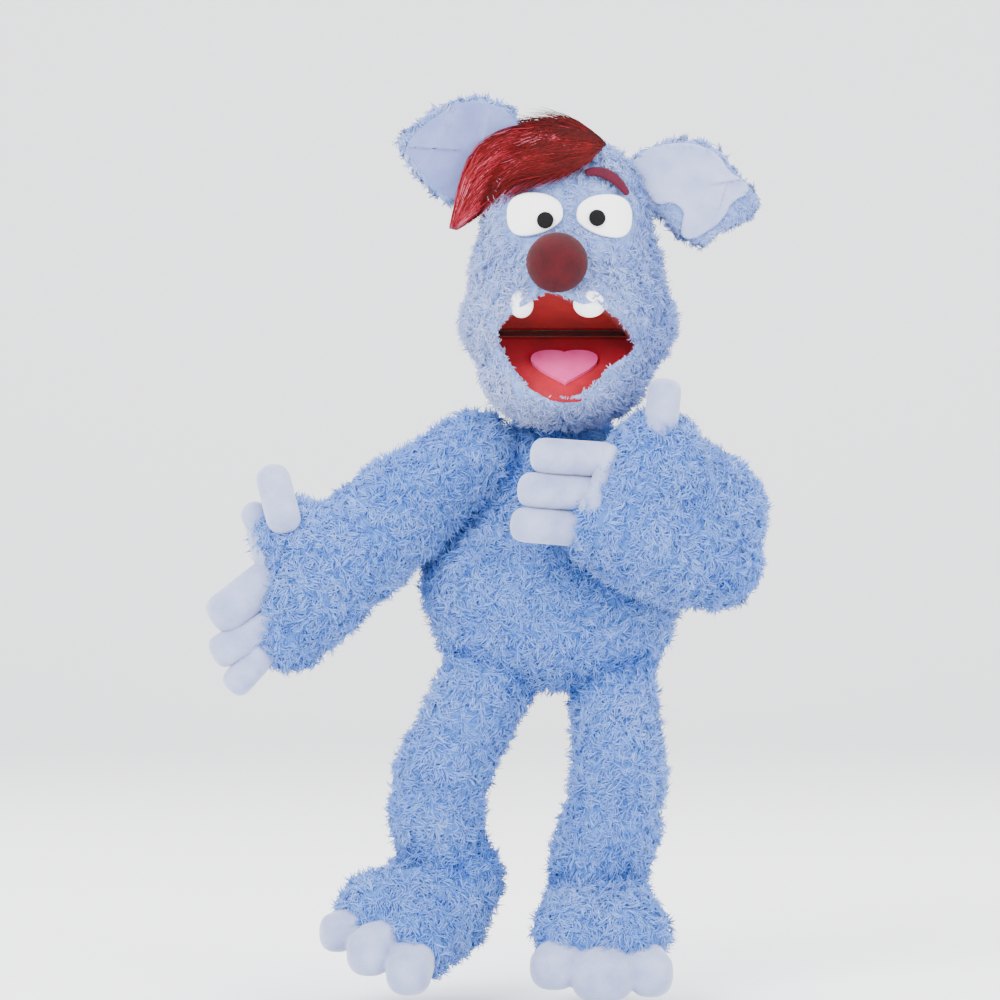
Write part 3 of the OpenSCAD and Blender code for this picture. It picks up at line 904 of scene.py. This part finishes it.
def hand(side):
    """Bare thumb and fingers, and the bare patch on the palm."""
    for finger, (root, tip, r) in zip(FINGER_NAMES, FINGERS[side]):
        name, box = f"{finger}_{side}", around([root, tip], r + 10)
        piece = solid(f"{name}_plush", finger_field(root, tip, r), *box, 1.3, MINKY)
        stand_for(piece, name, name)
    pad = solid(f"palm_plush_{side}", PALM_PAD[side], *around([PALM[side]], 70), 1.5, MINKY)
    stand_for(pad, f"palm_pad_{side}", f"forearm_{side}")


for side in SIDES:
    hand(side)

# ---- ears ----

EAR_OUTLINE = {
    "right": [(-18, 614), (-30, 641), (-46, 648), (-63, 651), (-84, 645), (-102, 635), (-118, 622),
              (-121, 613), (-111, 595), (-93, 575), (-76, 564), (-60, 572), (-44, 590)],
    "left": [(44, 602), (57, 611), (72, 617), (91, 620), (109, 617), (120, 610), (128, 597), (140, 586),
             (149, 575), (144, 560), (128, 551), (116, 547), (106, 535), (94, 538), (84, 545), (76, 551),
             (71, 559), (58, 562), (54, 580)],
}
LINING_OUTLINE = {
    "right": [(-22, 612), (-35, 637), (-58, 645), (-76, 641), (-98, 627), (-112, 612), (-107, 600),
              (-91, 582), (-76, 570), (-60, 578), (-44, 594)],
    "left": [(50, 598), (60, 607), (72, 612), (90, 614), (105, 611), (116, 604), (122, 593), (134, 586),
             (138, 578), (124, 571), (118, 558), (106, 549), (95, 543), (87, 546), (88, 556), (90, 564),
             (81, 571), (72, 568), (66, 572), (58, 582)],
}
EAR_FOLDS = {
    "right": [((-114, 611), (-70, 608), 3.2), ((-72, 640), (-98, 598), 2.2), ((-50, 640), (-62, 585), 1.6)],
    "left": [((106, 583), (134, 588), 4.0), ((112, 560), (122, 590), 2.6), ((76, 590), (84, 606), 1.4)],
}
EAR_Y = 12.0


def ear_middle_y(p, side):
    """The cupped middle sheet of an ear."""
    away = np.clip((p[:, 0] - HEAD_X - OUTWARD[side] * 50) * OUTWARD[side], 0, 120)
    return EAR_Y - 3.5 * np.sin(away / 26) + 0.0004 * away**2


def fold_height(p, side):
    """Height of soft folds, each steep on one side and gentle on the other."""
    total = 0
    for a, b, height in EAR_FOLDS[side]:
        a, b = np.array(a, float), np.array(b, float)
        q = p[:, [0, 2]] - a
        length = np.linalg.norm(b - a)
        way = (b - a) / length
        across = q @ [-way[1], way[0]]
        ends = np.clip(np.minimum(q @ way, length - q @ way) / 8, 0, 1)
        total = total + height * ends * np.where(across > 0, np.exp(-across / 9), np.exp(across / 1.1))
    return total


def ear_field(side):
    outline = rounded(EAR_OUTLINE[side], 2)

    def field(p):
        flat = outline_field(p[:, 0], p[:, 2], outline) + 4
        return meet(flat, np.abs(p[:, 1] - ear_middle_y(p, side)) - 3.6, 5) - 0.5

    return field


def lining_field(side):
    outline = rounded(LINING_OUTLINE[side], 1)

    def field(p):
        flat = outline_field(p[:, 0], p[:, 2], outline)
        front = ear_middle_y(p, side) - 5.4 - fold_height(p, side)
        return meet(flat, np.abs(p[:, 1] - front) - 1.1, 1.5)

    return field


def furry_part(side):
    """Where an ear has pile: on its back and round its rim."""
    outline = rounded(LINING_OUTLINE[side], 1)
    return lambda p: (p[:, 1] > ear_middle_y(p, side) - 1) | (
        outline_field(p[:, 0], p[:, 2], outline) > -0.5
    )


def ear(side):
    """A furry ear back, and a bare lining stretched on its front."""
    pts = np.array(EAR_OUTLINE[side], float)
    (left, low), (right, high) = pts.min(0) - 6, pts.max(0) + 6
    box = ([left, EAR_Y - 24, low], [right, EAR_Y + 22, high])
    plush(
        f"ear_{side}", ear_field(side), box, [f"ear_back_{side}"], riding(f"ear_{side}"),
        [furry_part(side), outside(head_field, 2)], True, 2.2, length=6.5, comb=0.3,
    )
    lining = solid(f"ear_cloth_{side}", lining_field(side), *box, 1.1, LINING[side])
    stand_for(lining, f"ear_lining_{side}", f"ear_{side}")


for side in SIDES:
    ear(side)

# ---- eyes, brows, nose and teeth ----

GRID_LOW, GRID_STEP, GRID_SIZE = np.array([-92.0, 398.0]), 2.0, (98, 126)


def measure_front():
    """Y of the head's front surface on a grid in front view."""
    xs, zs = (GRID_LOW[i] + GRID_STEP * np.arange(GRID_SIZE[i]) for i in (0, 1))
    x, z = (a.ravel() for a in np.meshgrid(xs, zs, indexing="ij"))
    near, far = np.full(len(x), -110.0), np.full(len(x), 0.0)
    for _ in range(18):
        mid = (near + far) / 2
        empty = face_form(np.stack([x, mid, z], 1)) > 0
        near, far = np.where(empty, mid, near), np.where(empty, far, mid)
    return near.reshape(GRID_SIZE)


FRONT = measure_front()


def front_of_head(x, z):
    """Y of the head's front surface at places in front view."""
    at = (np.stack(np.broadcast_arrays(x, z), -1).astype(float) - GRID_LOW) / GRID_STEP
    at = np.clip(at, 0, np.array(GRID_SIZE) - 1.01)
    i, j = np.floor(at).astype(int).T
    u, v = (at - np.floor(at)).T
    return (
        FRONT[i, j] * (1 - u) * (1 - v) + FRONT[i + 1, j] * u * (1 - v) + FRONT[i, j + 1] * (1 - u) * v
        + FRONT[i + 1, j + 1] * u * v
    )


DISC_RINGS = 8
DISC_FOLLOW = 0.75


def disc(name, outline, centre_xz, proud, thick, material_used):
    """A domed disc on the front of the head that follows its curve in part."""
    cx, cz = centre_xz
    n = len(outline)
    level = front_of_head(np.array([cx]), np.array([cz]))[0]
    verts, faces = [], []
    for k in range(DISC_RINGS, -1, -1):
        share = math.sin(math.pi / 2 * k / DISC_RINGS)
        flat = outline * share
        y_head = front_of_head(cx + flat[:, 0], cz + flat[:, 1])
        dome = proud * math.sqrt(max(0, 1 - share**2))
        base = level + DISC_FOLLOW * (y_head - level) - thick - dome
        verts.append(np.stack([cx + flat[:, 0], base, cz + flat[:, 1]], 1))
    back = verts[0] + [0, thick + 3, 0]
    rows = [back, *verts[:-1]]
    points = np.concatenate([*rows, verts[-1][:1], back.mean(0, keepdims=True)])
    i = np.arange(n)
    j = (i + 1) % n
    for r in range(len(rows) - 1):
        faces.append(np.stack([r * n + i, r * n + j, (r + 1) * n + j, (r + 1) * n + i], 1))
    last, tip, bottom = (len(rows) - 1) * n, len(points) - 2, len(points) - 1
    caps = [np.stack([last + i, last + j, np.full(n, tip)], 1), np.stack([j, i, np.full(n, bottom)], 1)]
    obj = new_mesh(name, points, [np.concatenate(faces), *caps])
    obj.data.materials.append(material_used)
    return obj


ring = np.linspace(0, 2 * math.pi, 65)[:-1]
PUPILS = {"right": (-11.2, 553.3), "left": (25.6, 555.0)}
PUPIL_R = 5.9


def eye(side):
    """An eye white and the pupil on it."""
    white = disc(f"eye_white_{side}", eye_shape(side, ring), EYES[side], 3.2, 4.5, EYE_WHITE)
    stand_for(white, f"eye_{side}", "head")
    circle = np.stack([PUPIL_R * np.cos(ring), PUPIL_R * np.sin(ring)], 1)
    pupil = disc(f"eye_pupil_{side}", circle, PUPILS[side], 0.8, 8.0, PUPIL)
    stand_for(pupil, f"pupil_{side}", "head")


def brow_form(curve, bulk):
    """A felt strip along a curve on the head, thinner towards its ends."""
    swell = 1.2 + (bulk - 1.2) * np.sin(math.pi * (0.16 + 0.68 * BROW_STEPS))

    def field(p):
        gaps = [np.linalg.norm(p[:, [0, 2]] - spot, axis=1) - r for r, spot in zip(swell, curve)]
        y = front_of_head(p[:, 0], p[:, 2]) - 6
        return meet(np.min(gaps, axis=0), np.abs(p[:, 1] - y) - 3, 1.5)

    return field


def brow(side):
    curve = np.array(brow_curve(side))
    (left, low), (right, high) = curve.min(0) - 6, curve.max(0) + 6
    form = brow_form(curve, BROWS[side][3])
    felt = solid(f"brow_felt_{side}", form, [left, -80, low], [right, -20, high], 0.9, BROW)
    stand_for(felt, f"eyebrow_{side}", "head")


def nose_field(p):
    """A ball with a seam below its middle."""
    q = p - NOSE_AT
    seam = np.exp(-((q[:, 0] / 0.9) ** 2)) * np.clip(-q[:, 2] / 20, 0, 1)
    return np.linalg.norm(q * [1, 1, 1.02], axis=1) - NOSE_R + 0.6 * seam


def tooth(side):
    """An oval felt tooth on the upper lip."""
    x, z, wide = TEETH[side]
    at = np.array([x, front_of_head(np.array([x]), np.array([z + 6]))[0] + 3, z])
    form = solid(
        f"tooth_felt_{side}", lambda p: ellipsoid(p, at, [wide, 4.8, 9.5]), *around([at], 14), 1.1, TOOTH
    )
    stand_for(form, f"tooth_{side}", "head")


for side in SIDES:
    eye(side)
for side in SIDES:
    brow(side)
nose = solid("nose_velour", nose_field, *around([NOSE_AT], 25), 1.5, NOSE)
stand_for(nose, "nose", "head")
for side in SIDES:
    tooth(side)

# ---- hair ----

HAIR_RINGS = 6
HAIR_STRANDS = 7000
CROWN = 608


def eased(line):
    """An open line with its corners cut, its ends kept."""
    pts = np.array(line, float)
    for _ in range(3):
        a, b = pts[:-1], pts[1:]
        cut = np.stack([0.75 * a + 0.25 * b, 0.25 * a + 0.75 * b], 1).reshape(-1, 2)
        pts = np.concatenate([pts[:1], cut, pts[-1:]])
    return pts


def hair_spot(s, v):
    """Places in front view: s runs along the hair patch and v from its lower line to its upper."""
    upper, lower = eased(HAIR_UPPER), eased(HAIR_LOWER)
    s = np.clip(s, 0, 1) * (len(upper) - 1)
    k = np.arange(len(upper))
    top, low = (np.stack([np.interp(s, k, line[:, i]) for i in (0, 1)], 1) for line in (upper, lower))
    return low + (top - low) * v[:, None]


def hair_lines(gen, count, locks, reach):
    """Centre lines of strands in locks, with each strand's lock, layer and end along the patch."""
    lock = gen.integers(0, locks, count)
    start = np.clip(gen.random(locks)[lock] ** 1.2 * 0.75 + gen.normal(0, 0.05, count), 0, 0.85)
    end = np.clip(start + reach * gen.uniform(0.7, 1.25, locks)[lock] + gen.normal(0, 0.03, count), 0, 1.0)
    v0 = np.clip(gen.random(locks)[lock] + gen.normal(0, 0.07, count), 0.02, 0.98)
    drift = gen.normal(0, 0.16, locks)[lock] + gen.normal(0, 0.05, count)
    layer = np.clip(gen.random(locks)[lock] + gen.normal(0, 0.15, count), 0, 1)
    wave = gen.uniform(0, 2 * math.pi, locks)[lock]
    stray = gen.normal(0, 0.06, locks)[lock] + gen.normal(0, 0.05, count)
    centres = []
    for k in range(HAIR_RINGS):
        t = k / (HAIR_RINGS - 1)
        s = start + (end - start) * t
        v = v0 + drift * t + 0.05 * np.sin(4 * t + wave) + stray * t * t
        flat = hair_spot(s, v)
        lift = 2 + (4 + 12 * layer) * np.sin(math.pi * np.clip(0.12 + 0.75 * t, 0, 1)) * (1 - 0.5 * s)
        over = np.maximum(flat[:, 1] - CROWN, 0)
        y = front_of_head(flat[:, 0], flat[:, 1] - over) - lift + 0.9 * over
        centres.append(np.stack([flat[:, 0], y, flat[:, 1]], 1))
    return centres, lock, layer, end


def hair(name, locks, reach, seed):
    """Long pile swept to one side over the hair patch."""
    gen = np.random.default_rng(seed)
    centres, lock, layer, end = hair_lines(gen, HAIR_STRANDS, locks, reach)
    rows, ways = [], []
    for k in range(HAIR_RINGS - 1):
        width = 0.32 * (1 - (k / (HAIR_RINGS - 1)) ** 3)
        ahead = unit(centres[k + 1] - centres[k])
        side_way = unit(np.cross(ahead, [0, 1, 0]))
        out = np.cross(side_way, ahead)
        for a in THIRDS:
            way = math.cos(a) * side_way + math.sin(a) * out
            rows.append(centres[k] + width * way)
            ways.append(way)
    ways.append(ahead)
    verts, normals = np.stack([*rows, centres[-1]], 1), np.stack(ways, 1)
    soft = unit(normals + 0.7 * np.array([0, -0.8, 0.6]))
    quads, tips = tube_faces(HAIR_STRANDS, HAIR_RINGS - 1)
    tone = 0.5 + 0.7 * gen.normal(0, 1, locks)[lock] + gen.normal(0, 0.4, HAIR_STRANDS) + 1.0 * layer
    shade = tone[:, None] + np.linspace(-0.7, 0.7, HAIR_RINGS - 2) + 4.5 * np.clip(end - 0.55, 0, 1)[:, None]
    tip = tone + 1.0 + 5.0 * np.clip(end - 0.5, 0, 1)
    slots = np.concatenate([np.repeat(shade, 3, 1).reshape(-1), np.repeat(tip, 3)])
    slots = np.clip(np.round(slots), 0, len(HAIR_SHADES) - 1)
    obj = new_mesh(name, verts.reshape(-1, 3), [quads, tips], slots, soft.reshape(-1, 3))
    for tone_mat in HAIR_SHADES:
        obj.data.materials.append(tone_mat)
    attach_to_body(obj, "head")
    return obj


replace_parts(hair("red_hair", 130, 0.36, 21), "hair_tuft")
hair("red_hair_over", 220, 0.3, 22)

# ---- parts kept as the CAD made them ----

KEPT = {
    "palate": PALATE,
    "mouth_fold": FOLD,
    "mouth_floor": FLOOR,
    "tongue": TONGUE,
    "palate_board": BOARD,
    "mouth_floor_board": BOARD,
    "finger_pocket": INNER,
    "thumb_pocket": INNER,
    "hand_cuff": INNER,
}
for side in SIDES:
    KEPT[f"shoulder_wadding_{side}"] = FILLING
for node, finish in KEPT.items():
    mesh = frame["nodes"][node].data
    mesh.materials.clear()
    mesh.materials.append(finish)

# ---- stage, camera and light ----

floor_z = min(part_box(f"toes_{side}")[0].z for side in SIDES) - 0.004


def backdrop():
    """A pale floor that curves up into a wall behind."""
    width, depth, back, bend = 7.0, 5.0, 3.6, 0.7
    profile = [(-depth, 0.0), (back - bend, 0.0)]
    for k in range(1, 9):
        a = math.pi / 2 * k / 8
        profile.append((back - bend + bend * math.sin(a), bend - bend * math.cos(a)))
    profile.append((back, 5.0))
    verts = [(x, y, z + floor_z) for y, z in profile for x in (-width, width)]
    faces = [(2 * i, 2 * i + 1, 2 * i + 3, 2 * i + 2) for i in range(len(profile) - 1)]
    mesh = bpy.data.meshes.new("studio_floor")
    mesh.from_pydata(verts, [], faces)
    for polygon in mesh.polygons:
        polygon.use_smooth = True
    obj = bpy.data.objects.new("studio_floor", mesh)
    bpy.context.scene.collection.objects.link(obj)
    mesh.materials.append(material("studio_white", (0.94, 0.94, 0.95, 1), 0.95))


backdrop()

# Straight on from the front: the picture is VIEW_SIZE metres wide at the drawing's Y of 0.
VIEW_MIDDLE = to_row([-43, 0, 356])
VIEW_SIZE = 0.72
DISTANCE = 2.8
SENSOR = 36
lens = bpy.data.cameras.new("camera")
lens.sensor_width = SENSOR
lens.lens = SENSOR * DISTANCE / VIEW_SIZE
camera = bpy.data.objects.new("camera", lens)
camera.location = (VIEW_MIDDLE[0], VIEW_MIDDLE[1] - DISTANCE, VIEW_MIDDLE[2])
camera.rotation_euler = (math.pi / 2, 0, 0)
bpy.context.scene.collection.objects.link(camera)
bpy.context.scene.camera = camera
AIM = (0.0, 0.0, -0.15)


def light(name, place, size, power):
    """A round soft light aimed at the puppet's middle."""
    data = bpy.data.lights.new(name, "AREA")
    data.shape = "DISK"
    data.size = size
    data.energy = power
    obj = bpy.data.objects.new(name, data)
    obj.location = place
    way = Vector(AIM) - Vector(place)
    obj.rotation_euler = way.to_track_quat("-Z", "Y").to_euler()
    bpy.context.scene.collection.objects.link(obj)


light("key", (-1.3, -1.9, 1.3), 1.4, 95)
light("fill", (1.8, -1.6, 0.5), 1.8, 52)
light("top", (0.1, 0.2, 1.9), 1.4, 44)
light("back_left", (-1.6, 1.2, 0.7), 1.0, 22)
light("back_right", (1.6, 1.2, 0.7), 1.0, 22)
world = bpy.data.worlds.new("studio_world")
world.use_nodes = True
world.node_tree.nodes["Background"].inputs["Color"].default_value = (0.95, 0.97, 1.0, 1)
world.node_tree.nodes["Background"].inputs["Strength"].default_value = 1.95
bpy.context.scene.world = world
